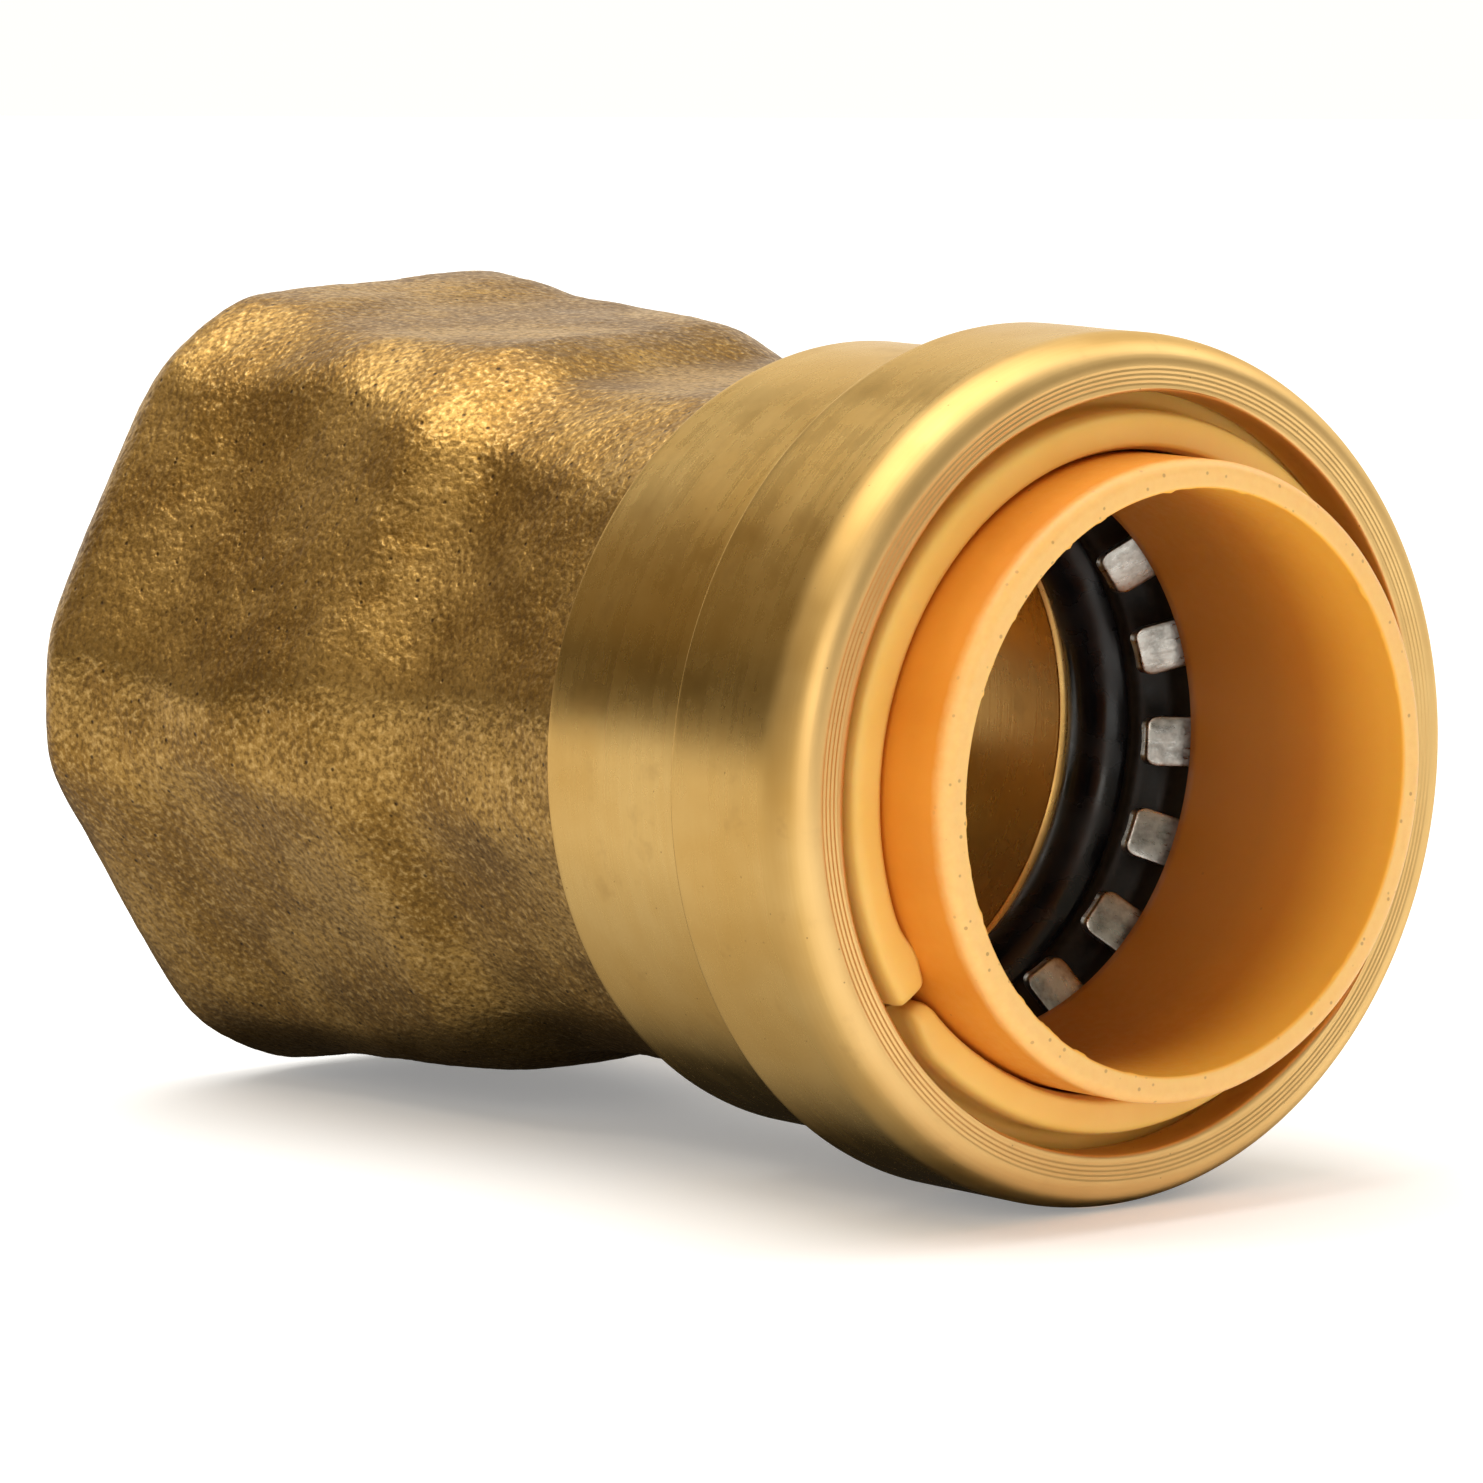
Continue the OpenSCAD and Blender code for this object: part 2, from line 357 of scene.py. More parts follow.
def cast_brass():
    """Rough cast brass: sand grain, dark pores and a brown tarnish."""
    n = Nodes("cast_brass_rough", 1.0, 0.42, (0.36, 0.2, 0.05))
    plain = n.coords()
    grain = n.noise(plain, 4.2, 2.0, 0.55)
    pebbles = n.cells(plain, 3.4, "SMOOTH_F1")
    pores = n.cells(plain, 1.25)
    patches = n.noise(plain, 0.13, 4.0, 0.55)
    clouds = n.noise(plain, 0.35, 4.0, 0.65)
    tone = n.ramp(
        patches, (0.36, (0.27, 0.145, 0.032)), (0.5, (0.36, 0.20, 0.046)), (0.66, (0.47, 0.275, 0.075))
    )
    tone = n.mix(n.ramp(clouds, (0.38, 0.4), (0.56, 0.0)), tone, (0.22, 0.118, 0.029))
    tarnish = n.math("ADD", n.math("MULTIPLY", patches, 0.8), n.math("MULTIPLY", clouds, 0.2))
    tone = n.mix(n.ramp(tarnish, (0.49, 0.0), (0.53, 0.2)), tone, (0.62, 0.39, 0.12))
    tone = n.mix(n.ramp(grain, (0.36, 0.6), (0.5, 0.0)), tone, (0.12, 0.062, 0.016))
    tone = n.mix(n.ramp(grain, (0.54, 0.0), (0.70, 0.5)), tone, (0.80, 0.53, 0.20))
    tone = n.mix(n.ramp(pores, (0.06, 0.85), (0.14, 0.0)), tone, (0.04, 0.02, 0.008))
    gloss = n.ramp(grain, (0.35, 0.47), (0.68, 0.36))
    height = n.math("SUBTRACT", grain, n.math("MULTIPLY", pebbles, 0.8))
    normal = n.bump(height, 0.6, 0.07)
    normal = n.bump(n.ramp(pores, (0.02, 0.0), (0.15, 1.0)), 0.4, 0.06, normal)
    normal = n.bump(clouds, 0.15, 0.15, normal)
    return n.use(tone, gloss, normal)


def moulded_plastic(name, color, deep, rough=0.45, rim_x=0.0, rim_r=0.0, rim_wear_and_highlight_color=(1, 1, 1)):
    """Translucent moulded acetal with faint flow marks, flat specks and an almost smooth skin.

    With rim_x, the end beyond it pales towards the rim colour, partly wear and partly a painted highlight;
    the bore within rim_r gets painted shade that darkens inwards and painted light near the mouth.
    """
    n = Nodes(name, 0.0, rough, color)
    plain = n.coords()
    flow = n.noise(n.coords((0.4, 1, 1)), 0.22, 3.0, 0.5)
    fine = n.noise(plain, 2.4, 3.0, 0.6)
    specks = n.cells(plain, 0.55)
    tone = n.mix(n.ramp(flow, (0.35, 0.0), (0.7, 1.0)), color, deep)
    tone = n.mix(n.ramp(specks, (0.02, 0.7), (0.045, 0.0)), tone, (0.20, 0.09, 0.03))
    if rim_x:
        station = n.add("ShaderNodeSeparateXYZ", {"Vector": plain}).outputs["X"]
        out_x = n.math("ADD", n.math("SUBTRACT", station, rim_x), n.math("MULTIPLY", fine, 0.3))
        radius = n.add("ShaderNodeSeparateXYZ", {"Vector": n.polar(0.0, 0.0, 1.0)}).outputs["Z"]
        out_r = n.math("SUBTRACT", radius, rim_r)
        inward = n.math("MULTIPLY", n.math("SUBTRACT", rim_x + 0.7, station), 0.1)
        inside = n.ramp(out_r, (0.05, 1.0), (0.35, 0.0))
        # Painted shade: the bore darkens towards brown the deeper it lies behind the rim.
        depth = n.math("MULTIPLY", n.ramp(inward, (0.2, 0.0), (0.75, 0.7)), inside)
        tone = n.mix(depth, tone, (0.40, 0.15, 0.022))
        # Painted light: the bore is brightened to a glowing orange near its mouth.
        glow = n.math("MULTIPLY", n.ramp(inward, (0.10, 0.8), (0.50, 0.0)), inside)
        tone = n.mix(glow, tone, (1.0, 0.50, 0.06))
        flash = n.cells(plain, 1.7)
        # The rim's paler colour is partly wear and partly a painted highlight on the face towards the light.
        rim_wear_and_highlight_x = n.ramp(out_x, (0.0, 0.0), (0.9, 1.0))
        rim_wear_and_highlight = n.math("MULTIPLY", rim_wear_and_highlight_x, n.ramp(out_r, (0.02, 0.0), (0.12, 1.0)))
        tone = n.mix(rim_wear_and_highlight, tone, rim_wear_and_highlight_color)
        dots = n.math("MULTIPLY", rim_wear_and_highlight, n.ramp(flash, (0.10, 0.7), (0.16, 0.0)))
        tone = n.mix(dots, tone, (0.42, 0.22, 0.07))
    n.shader.inputs["Subsurface Weight"].default_value = 0.25
    n.shader.inputs["Subsurface Radius"].default_value = (1.0, 0.4, 0.1)
    n.shader.inputs["Subsurface Scale"].default_value = 0.8 * MM
    n.shader.inputs["IOR"].default_value = 1.46
    n.shader.inputs["Specular IOR Level"].default_value = 0.4
    gloss = n.ramp(fine, (0.3, rough - 0.08), (0.7, rough + 0.08))
    normal = n.bump(fine, 0.12, 0.03)
    normal = n.bump(flow, 0.3, 0.2, normal)
    return n.use(tone, gloss, normal)


def spring_steel():
    """Stamped stainless steel: bright, with brushed lines and darker rubbed spots."""
    n = Nodes("spring_steel_stamped", 1.0, 0.3, (0.72, 0.69, 0.64))
    lines = n.noise(n.polar(3.0, 60.0, 0.6), 1.0, 3.0, 0.6)
    spots = n.noise(n.coords(), 1.1, 4.0, 0.65)
    tone = n.mix(n.ramp(spots, (0.42, 0.0), (0.66, 1.0)), (0.50, 0.485, 0.45), (0.24, 0.23, 0.21))
    gloss = n.ramp(lines, (0.3, 0.22), (0.7, 0.46))
    normal = n.bump(lines, 0.25, 0.02)
    normal = n.bump(spots, 0.4, 0.05, normal)
    return n.use(tone, gloss, normal)


def black_plastic():
    """Black moulding with a faint satin skin."""
    n = Nodes("black_plastic_satin", 0.0, 0.34, (0.012, 0.011, 0.010))
    plain = n.coords()
    skin = n.noise(plain, 2.0, 3.0, 0.6)
    lines = n.noise(n.polar(5.0, 0.6, 3.0), 1.0, 2.0)
    tone = n.ramp(skin, (0.3, (0.008, 0.007, 0.006)), (0.75, (0.026, 0.022, 0.018)))
    gloss = n.ramp(skin, (0.3, 0.38), (0.7, 0.55))
    n.shader.inputs["Specular IOR Level"].default_value = 0.3
    return n.use(tone, gloss, n.bump(lines, 0.2, 0.02, n.bump(skin, 0.15, 0.03)))


def black_rubber():
    """Black rubber, wet with lubricant."""
    n = Nodes("black_rubber_greased", 0.0, 0.2, (0.01, 0.01, 0.011))
    plain = n.coords()
    film = n.noise(plain, 0.6, 3.0, 0.5)
    tone = n.ramp(film, (0.3, (0.006, 0.006, 0.007)), (0.8, (0.02, 0.02, 0.022)))
    gloss = n.ramp(film, (0.35, 0.18), (0.7, 0.4))
    n.shader.inputs["Specular IOR Level"].default_value = 0.4
    return n.use(tone, gloss, n.bump(film, 0.3, 0.08))


# ---- Brass body ----

# Half the distance over the flats, and the radius at the corners, from the threaded end to the barrel.
CAST_STATION = [0.0, 0.6, 2.0, 4.5, 8.0, 11.5, 14.5, 17.8, 19.4, 21.6, 23.2, 26.5, 32.6]
CAST_FLAT = [14.95, 15.8, 16.2, 16.0, 15.4, 15.15, 15.1, 15.0, 14.65, 13.75, 13.6, 13.65, 13.8]
CAST_CORNER = [15.5, 16.6, 17.45, 17.1, 16.75, 16.7, 16.4, 15.95, 15.5, 14.75, 14.5, 14.4, 14.6]
CAST_TURN = math.radians(2.0)
CAST_LIFT = 0.12
CAST_COLUMNS = 480
CORNER_SHARPNESS = 110.0


def cast_radius(x, angle):
    """Radius of the cast outside: a hexagon with rounded corners that slims down to a neck."""
    flat = curve_through(CAST_STATION, CAST_FLAT, x)
    round_r = curve_through(CAST_STATION, CAST_CORNER, x)
    total = np.ones_like(x)
    for k in range(6):
        facing = np.cos(angle - k * math.pi / 3 - CAST_TURN)
        limit = np.where(facing > 0.2, flat / np.maximum(facing, 0.2), 1e3)
        total = total + np.exp(-CORNER_SHARPNESS * (limit / round_r - 1))
    return round_r * (1 - np.log(total) / CORNER_SHARPNESS)


def cast_shape(x, r, angle):
    """Puts the cast outside on the outline's outer points, with its uneven, grainy surface."""
    outside = r > 14.5
    r_cast = cast_radius(np.clip(x, 0, CAST_STATION[-1]), angle)
    points = around(x, r_cast, angle)
    uneven = 0.05 * wave_noise(points, 7.0, 3) + 0.02 * wave_noise(points, 2.6, 4)
    grain = 0.010 * wave_noise(points, 0.85, 5, 2)
    end = ease(0.0, 1.0, x) * (1 - ease(32.0, 32.5, x))
    lift = CAST_LIFT * np.cos(angle) * (1 - ease(26.0, 31.5, x))
    r = np.where(outside, r_cast + lift + (uneven + grain) * end, r)
    return x, r


def build_casting(material):
    """Cast outside of the body: hexagon, shoulder and neck."""
    x_out = np.concatenate([
        np.linspace(0, 1.0, 9)[:-1],
        np.linspace(1.0, 31.9, 150),
        [32.15, 32.4, 32.7],
    ])
    outline = [(x, 16.0) for x in x_out]
    outline += [(32.7, INNER_WALL_R), (18.0, INNER_WALL_R), (17.6, SLEEVE_WALL_R), (0.0, SLEEVE_WALL_R)]
    outline += [(0.0, 14.0), (0.0, 14.45)]
    return turned_piece("body_casting", outline, material, CAST_COLUMNS, cast_shape)


def thread_depth_at(x, angle):
    """Depth of the female thread's groove at a place: a helix with flat crests and roots."""
    turn = (x / THREAD_PITCH + angle / (2 * math.pi)) % 1.0
    rise = np.abs(turn - 0.5) * 2
    depth = np.clip((0.9 - rise) / 0.8, 0, 1)
    return (THREAD_MAJOR_R - THREAD_MINOR_R) * depth


def thread_shape(x, r, angle):
    """Cuts the thread into the outline's inner wall."""
    on_wall = (np.abs(r - THREAD_MINOR_R) < 1e-6) & (x < THREAD_LEN)
    cut = thread_depth_at(x, angle) * (1 - ease(THREAD_LEN - 1.6, THREAD_LEN - 0.2, x))
    taper = (THREAD_LEN - x) / 32 - 0.2
    bevel = np.clip(1.2 - x, 0, 1.2)
    wall = np.maximum(THREAD_MINOR_R + cut + taper * 0.3, THREAD_MINOR_R + bevel)
    return x, np.where(on_wall, np.minimum(wall, SLEEVE_WALL_R - 0.12), r)


def build_thread(material):
    """Inside of the threaded end, down to the waterway and the pipe stop."""
    wall = [(x, THREAD_MINOR_R) for x in np.linspace(0, THREAD_LEN - 0.01, 150)]
    outline = wall + [(17.8, WATERWAY_R + 0.2), (18.0, WATERWAY_R)]
    outline += [(x, WATERWAY_R) for x in np.linspace(18.6, STOP_X - 0.3, 6)]
    outline += [(STOP_X - 0.05, WATERWAY_R + 0.05), (STOP_X, WATERWAY_R + 0.3), (STOP_X, SOCKET_R)]
    outline += [(STOP_X, INNER_WALL_R), (18.0, INNER_WALL_R), (17.6, SLEEVE_WALL_R), (0.0, SLEEVE_WALL_R)]
    return turned_piece("body_thread", outline, material, 288, thread_shape)


def barrel_outline():
    """Outline of the machined barrel, from the pipe stop round the mouth and back."""
    out = []
    out += [(x, SOCKET_R) for x in np.linspace(STOP_X, CHAMBER_X - 0.35, 10)]
    out += corner(CHAMBER_X - 0.3, SOCKET_R + 0.08, 0.08, -90, -35, 4)
    out += [(CHAMBER_X - 0.04, SOCKET_R + 0.27), (CHAMBER_X, SOCKET_R + 0.34)]
    out += [(CHAMBER_X, 12.4), (CHAMBER_X, 13.2), (CHAMBER_X, CHAMBER_R - 0.05)]
    out += [(CHAMBER_X + 0.05, CHAMBER_R)]
    out += [(x, CHAMBER_R) for x in np.linspace(CHAMBER_X + 1.5, CHAMBER_END_X - 0.05, 6)]
    out += [(CHAMBER_END_X, CHAMBER_R + 0.05), (CHAMBER_END_X, MOUTH_R - 0.05)]
    out += [(CHAMBER_END_X + 0.05, MOUTH_R)]
    out += [(GROOVE_X - 0.1, MOUTH_R), (GROOVE_X, MOUTH_R + 0.1), (GROOVE_X, GROOVE_R - 0.1)]
    out += [(GROOVE_X + 0.1, GROOVE_R), (GROOVE_END_X - 0.1, GROOVE_R)]
    out += [(GROOVE_END_X, GROOVE_R - 0.1), (GROOVE_END_X, MOUTH_R + 0.06)]
    out += [(GROOVE_END_X + 0.06, MOUTH_R)]
    out += [(x, MOUTH_R) for x in np.linspace(GROOVE_END_X + 0.3, LIP_X - 0.16, 9)]
    out += corner(LIP_X - 0.14, MOUTH_R + 0.14, 0.14, -80, 0, 5)[:-1]
    out += [(LIP_X, r) for r in np.linspace(MOUTH_R + 0.16, FRONT_BAND_R - LIP_ROUND, 34)]
    for x, r in corner(0, 0, 1, 4, 90, 20):
        out.append((LIP_X - LIP_RUN + LIP_RUN * x, FRONT_BAND_R - LIP_ROUND + LIP_ROUND * r))
    out += [(x, FRONT_BAND_R) for x in np.linspace(LIP_X - 2.2, FRONT_BAND_X + 0.35, 18)]
    out += corner(FRONT_BAND_X + 0.16, FRONT_BAND_R - 0.16, 0.16, 90, 180, 5)
    out += [(FRONT_BAND_X, r) for r in np.linspace(FRONT_BAND_R - 0.35, REAR_BAND_R + 0.18, 5)]
    out += [(FRONT_BAND_X - 0.05, REAR_BAND_R + 0.05), (FRONT_BAND_X - 0.2, REAR_BAND_R)]
    out += [(x, REAR_BAND_R) for x in np.linspace(FRONT_BAND_X - 0.6, REAR_BAND_X + 0.5, 18)]
    out += [(REAR_BAND_X + 0.28, REAR_BAND_R), (REAR_BAND_X + 0.22, REAR_BAND_R - 0.02)]
    out += [(REAR_BAND_X + 0.02, REAR_BAND_R - 0.22), (REAR_BAND_X, REAR_BAND_R - 0.26)]
    out += [(REAR_BAND_X, 15.0), (REAR_BAND_X, 14.0), (REAR_BAND_X, INNER_WALL_R), (STOP_X, INNER_WALL_R)]
    return out


def barrel_shape(x, r, angle):
    """Turned grooves on the lip's face, a slightly uneven inner edge, and shallow tool steps on the bands."""
    on_lip = (x > LIP_X - 0.02) & (r > MOUTH_R + 0.15)
    points = around(x, r, angle)
    chatter = 0.03 * wave_noise(points, 12.0, 11)
    groove = np.cos((r - MOUTH_R + chatter) * 2 * math.pi / TOOL_LINE_PITCH)
    depth = 0.014 * ease(14.95, 15.1, r) * ease(15.95, 15.6, r)
    x = np.where(on_lip, x - depth * (1 + groove), x)
    on_edge = (x > LIP_X - 0.6) & (r < MOUTH_R + 0.16)
    edge = 0.07 * wave_noise(around(x * 0, r * 0 + 14.8, angle), 9.0, 12) + 0.03 * np.sin(angle * 3 + 1.0)
    r = np.where(on_edge, r + edge * ease(LIP_X - 0.6, LIP_X, x), r)
    on_band = (r > REAR_BAND_R - 0.01) & (x < LIP_X - 1.95)
    swell = 0.004 * wave_noise(points * np.array([2.0, 0.35, 0.35]), 5.0, 13)
    return x, np.where(on_band, r + swell - 0.004, r)


def build_barrel(material):
    """Machined barrel with its two bands, lip, mouth, groove and chamber."""
    return turned_piece("body_barrel", barrel_outline(), material, 384, barrel_shape)


# ---- Plastic rings ----

SPLIT_ANGLE = math.radians(127)
SPLIT_WIDTH = 0.7
END_ROUND = 0.6
RING_MID_R = 13.28
RING_MID_X = LIP_X - 1.7
CROWN_REACH = 2.4


def retaining_outline():
    """Closed outline of the retaining ring as (x, r)."""
    top, foot = ring_high[0], ring_low[0]
    bore, crown_r = 12.5, 14.05
    rib_r, skirt_r = GROOVE_R - 0.2, MOUTH_R - 0.1
    shoulder = top - CROWN_LEN
    out = [(top - 0.75, bore), (top - 0.45, bore + 0.03), (top - 0.25, bore + 0.14)]
    for share in np.linspace(0.12, 0.88, 9):
        crown = math.sqrt(max(0.0, 1 - abs(2 * share - 0.9) ** 3.2 * 0.75))
        out.append((top - 0.42 + 0.42 * crown, bore + (crown_r - bore) * share))
    out += [(top - 0.3, crown_r - 0.1), (top - 0.5, crown_r - 0.03), (top - 0.8, crown_r)]
    out += [(GROOVE_END_X - 0.2, crown_r), (GROOVE_END_X - 0.25, crown_r + 0.3)]
    out += [(GROOVE_END_X - 0.3, rib_r - 0.1), (GROOVE_END_X - 0.4, rib_r)]
    out += [(GROOVE_X + 0.6, rib_r), (GROOVE_X + 0.1, skirt_r), (CHAMBER_END_X + 0.15, skirt_r)]
    out += [(CHAMBER_END_X + 0.1, skirt_r - 0.05), (CHAMBER_END_X + 0.1, CHAMBER_R - 0.1)]
    out += [(foot + 0.05, CHAMBER_R - 0.1), (foot, CHAMBER_R - 0.15), (foot, 13.3), (foot + 0.05, 13.25)]
    out += [(CHAMBER_END_X + 0.2, 13.25), (CHAMBER_END_X + 0.25, 13.3), (CHAMBER_END_X + 0.25, 13.85)]
    out += [(CHAMBER_END_X + 0.3, 13.9), (shoulder - 0.05, 13.9), (shoulder, 13.85)]
    out += [(shoulder, bore + 0.05), (shoulder + 0.05, bore)]
    return out


def build_retaining_ring(material):
    """Split retaining ring: an open sweep with one blunt end and one recessed, tapered end."""
    outline = np.array(retaining_outline())
    half = SPLIT_WIDTH / 2 / RING_MID_R
    first, last = SPLIT_ANGLE + half, SPLIT_ANGLE - half + 2 * math.pi
    near = END_ROUND * (1 - np.cos(np.linspace(0, math.pi / 2, 8)))
    near = np.concatenate([near, np.arange(END_ROUND + 0.2, 7.0, 0.22)]) / RING_MID_R
    middle = np.linspace(first + near[-1], last - near[-1], 260)[1:-1]
    angle = np.concatenate([first + near, middle, last - near[::-1]])[:, None]
    from_first, from_last = (angle - first) * RING_MID_R, (last - angle) * RING_MID_R
    x, r = outline[None, :, 0] + 0 * angle, outline[None, :, 1] + 0 * angle
    crown = x > LIP_X - CROWN_REACH
    bore = outline[:, 1].min()

    recess = 0.45 * (1 - ease(0.0, 6.5, from_first))
    taper = 0.3 * (1 - ease(0.0, 2.0, from_first)) * ease(bore, bore + 1.5, r)
    nub = 0.3 * bump(1.6, 1.0, from_last) * (r < bore + 0.4)
    from_end = np.minimum(from_first, from_last)
    rounding = END_ROUND * (1 - np.sqrt(np.clip(1 - (1 - from_end / END_ROUND) ** 2, 0, 1)))
    rounding = np.where(from_end < END_ROUND, rounding, 0)
    out_x, out_r = x - RING_MID_X, r - RING_MID_R
    reach = np.maximum(np.hypot(out_x, out_r), 1e-6)
    x = np.where(crown, x - recess - rounding * out_x / reach, x)
    r = np.where(crown, r - taper * (r - bore) - nub - rounding * out_r / reach, r)
    a = angle + 0 * x
    x = x + np.where(crown, 0.03 * wave_noise(around(x, r, a), 14.0, 21), 0)

    points = around(x, r, a).reshape(-1, 3)
    columns = len(outline)
    faces = grid_faces(len(angle), columns, False, True).tolist()
    faces.append(list(range(columns))[::-1])
    faces.append([(len(angle) - 1) * columns + k for k in range(columns)])
    return make_piece("retaining_ring_split", points, faces, material)


def collar_outline():
    """Closed outline of the release collar as (x, r)."""
    low, high = collar_low[0], collar_high[0]
    bore, sleeve, flange_r = COLLAR_BORE_R, COLLAR_SLEEVE_R, 13.6
    flange_end = ring_high[0] - CROWN_LEN - 0.15
    flange = flange_end - 1.2
    out = [(low + 0.06, bore), (low, bore + 0.08), (low, bore + 0.32)]
    out += [(low + 0.05, bore + 0.42), (low + 0.7, sleeve - 0.04), (low + 0.82, sleeve)]
    out += [(flange - 0.62, sleeve), (flange - 0.5, sleeve + 0.06), (flange - 0.05, flange_r - 0.05)]
    out += [(flange, flange_r), (flange_end - 0.08, flange_r), (flange_end, flange_r - 0.08)]
    out += [(flange_end, sleeve + 0.05), (flange_end + 0.05, sleeve)]
    out += [(x, sleeve) for x in np.linspace(flange_end + 0.5, high - 0.62, 14)]
    out += corner(high - 0.5, sleeve - 0.5, 0.5, 86, 8, 10)
    out += [(high, sleeve - 0.56), (high - 0.005, sleeve - 0.7), (high, bore + 0.3), (high, bore + 0.17)]
    out += corner(high - 0.14, bore + 0.14, 0.14, 345, 275, 5)
    out += [(x, bore) for x in np.linspace(high - 0.35, low + 0.5, 26)]
    return out


def collar_shape(x, r, angle):
    """Faint waviness of the moulded lip, and flakes of flash along its inner edge."""
    high = collar_high[0]
    at_lip = ease(high - 1.2, high, x)
    points = around(x, r, angle)
    x = x + 0.02 * at_lip * wave_noise(points, 10.0, 31)
    inner_edge = (r < COLLAR_BORE_R + 0.2) & (x > high - 0.32)
    rim_points = around(x * 0, r * 0 + COLLAR_BORE_R, angle)
    flash = np.clip(wave_noise(rim_points, 0.9, 32, 2) - 0.55, 0, 1)
    r = np.where(inner_edge, r - 0.07 * flash, r)
    return x, r


def build_collar(material):
    """Release collar."""
    return turned_piece("release_collar_moulded", collar_outline(), material, 360, collar_shape)


# ---- Grip ring and seals ----

TOOTH_COUNT = 18
TOOTH_PHASE = 0.35
TOOTH_WIDTH = 2.0
TOOTH_TIP_R = 10.25
TOOTH_ROOT_R = 12.55
TOOTH_DROP = 1.45
STEEL = 0.4


def grip_rim_outline(front):
    """Flat rim of the gripping ring, with small rounded edges."""
    low_r, high_r = 12.6, 13.8
    back = front - STEEL
    return [(back, low_r + 0.08), (back + 0.08, low_r), (front - 0.08, low_r), (front, low_r + 0.08),
            (front, (low_r + high_r) / 2), (front, high_r - 0.08), (front - 0.08, high_r),
            (back + 0.08, high_r), (back, high_r - 0.08), (back, (low_r + high_r) / 2)]


def tooth_mesh(turn):
    """One tooth: a bent blade with parallel sides and rounded corners at its tip."""
    front = grip_high[0]
    along = np.concatenate([np.linspace(0, 0.78, 9), [0.82, 0.86, 0.9, 0.935, 0.965, 0.985, 1.0]])
    across = np.array([-1, -0.97, -0.85, -0.5, 0, 0.5, 0.85, 0.97, 1])
    length = TOOTH_ROOT_R - TOOTH_TIP_R + 0.25
    points, faces = [], []
    for side in (0, 1):
        for u in along:
            tip = np.clip((u - 0.82) / 0.18, 0, 1)
            half = TOOTH_WIDTH / 2 * (1 - 0.42 * (1 - math.sqrt(max(0.0, 1 - tip ** 2))))
            r = TOOTH_ROOT_R + 0.25 - length * u
            lean = TOOTH_DROP * ease(0.0, 0.35, u) * u
            for v in across:
                swell = 0.06 * (1 - v * v) * u
                edge = 0.035 * max(abs(v) ** 16, tip ** 8)
                x = front - lean - (STEEL - edge if side else edge) + swell
                points.append((x, v * half, r))
    rows, columns = len(along), len(across)
    top = grid_faces(rows, columns, False, False)
    faces += top.tolist()
    faces += (top[:, ::-1] + rows * columns).tolist()
    rim = [j for j in range(columns)] + [i * columns + columns - 1 for i in range(1, rows)]
    rim += [(rows - 1) * columns + j for j in range(columns - 2, -1, -1)]
    rim += [i * columns for i in range(rows - 2, 0, -1)]
    for a, b in zip(rim, rim[1:] + rim[:1]):
        faces.append((b, a, a + rows * columns, b + rows * columns))
    points = np.array(points)
    c, s = math.cos(turn), math.sin(turn)
    x, y, z = points.T
    return np.stack([x, c * y - s * z, s * y + c * z], -1), faces


def build_grip(material):
    """Gripping ring: flat rim and leaning teeth, as one piece."""
    outline = clockwise(grip_rim_outline(grip_high[0]))
    columns = 192
    angle = np.arange(columns) * 2 * math.pi / columns
    x = np.repeat(outline[:, :1], columns, 1)
    r = np.repeat(outline[:, 1:2], columns, 1)
    a = np.repeat(angle[None, :], len(outline), 0)
    points = [around(x, r, a).reshape(-1, 3)]
    faces = grid_faces(len(outline), columns, True, True).tolist()
    start = len(points[0])
    for k in range(TOOTH_COUNT):
        tooth, tooth_faces = tooth_mesh((k + TOOTH_PHASE) * 2 * math.pi / TOOTH_COUNT)
        points.append(tooth)
        faces += [[i + start for i in reversed(f)] for f in tooth_faces]
        start += len(tooth)
    return make_piece("grab_ring_teeth", np.concatenate(points), faces, material)


def build_protector(material):
    """Hard black ring between the teeth and the rubber ring, dished towards the pipe."""
    low, high = protector_low[0], protector_high[0]
    bore, dish, outer = 11.5, 12.6, CHAMBER_R - 0.1
    out = [(low + 0.06, bore), (low, bore + 0.06), (low, 12.6), (low, outer - 0.08), (low + 0.08, outer)]
    out += [(high - 0.08, outer), (high, outer - 0.08), (high, dish + 0.34), (high - 0.04, dish + 0.28)]
    out += [(high - 0.36, dish + 0.02), (high - 0.5, dish), (high - 1.2, dish), (high - 1.95, dish)]
    out += [(high - 2.1, dish - 0.03), (high - 2.5, dish - 0.5), (high - 2.85, bore + 0.14)]
    out += [(high - 3.0, bore + 0.04), (high - 3.15, bore)]
    return turned_piece("seal_protector_moulded", refine(out, 0.4), material, 256)


def build_seal(material):
    """Rubber ring, faintly flattened where it lies on the chamber's wall."""
    centre_x, radius = (seal_low[0] + seal_high[0]) / 2, SEAL_SECTION_R
    centre_r = seal_high[2] - radius
    out = []
    for k in range(40):
        t = 2 * math.pi * k / 40
        out.append((centre_x + radius * math.cos(t), centre_r + min(radius * math.sin(t), radius - 0.04)))
    return turned_piece("o_ring_greased", out, material, 256)


# ---- Assembly ----

def place(piece, body, node, slot):
    """Binds a piece to its body and hides its CAD node; slot, the finish, is not used."""
    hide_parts(node)
    if body:
        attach(piece, body)
    return piece


barrel_brass = turned_brass("turned_brass_barrel")
thread_brass = turned_brass("turned_brass_thread")
place(build_casting(cast_brass()), "housing", "fitting_body", "cast_brass")
place(build_thread(thread_brass), "housing", "fitting_body", "cast_brass")
place(build_barrel(barrel_brass), "housing", "fitting_body", "cast_brass")

pale = moulded_plastic("pale_acetal", (0.93, 0.59, 0.155), (0.88, 0.53, 0.115))
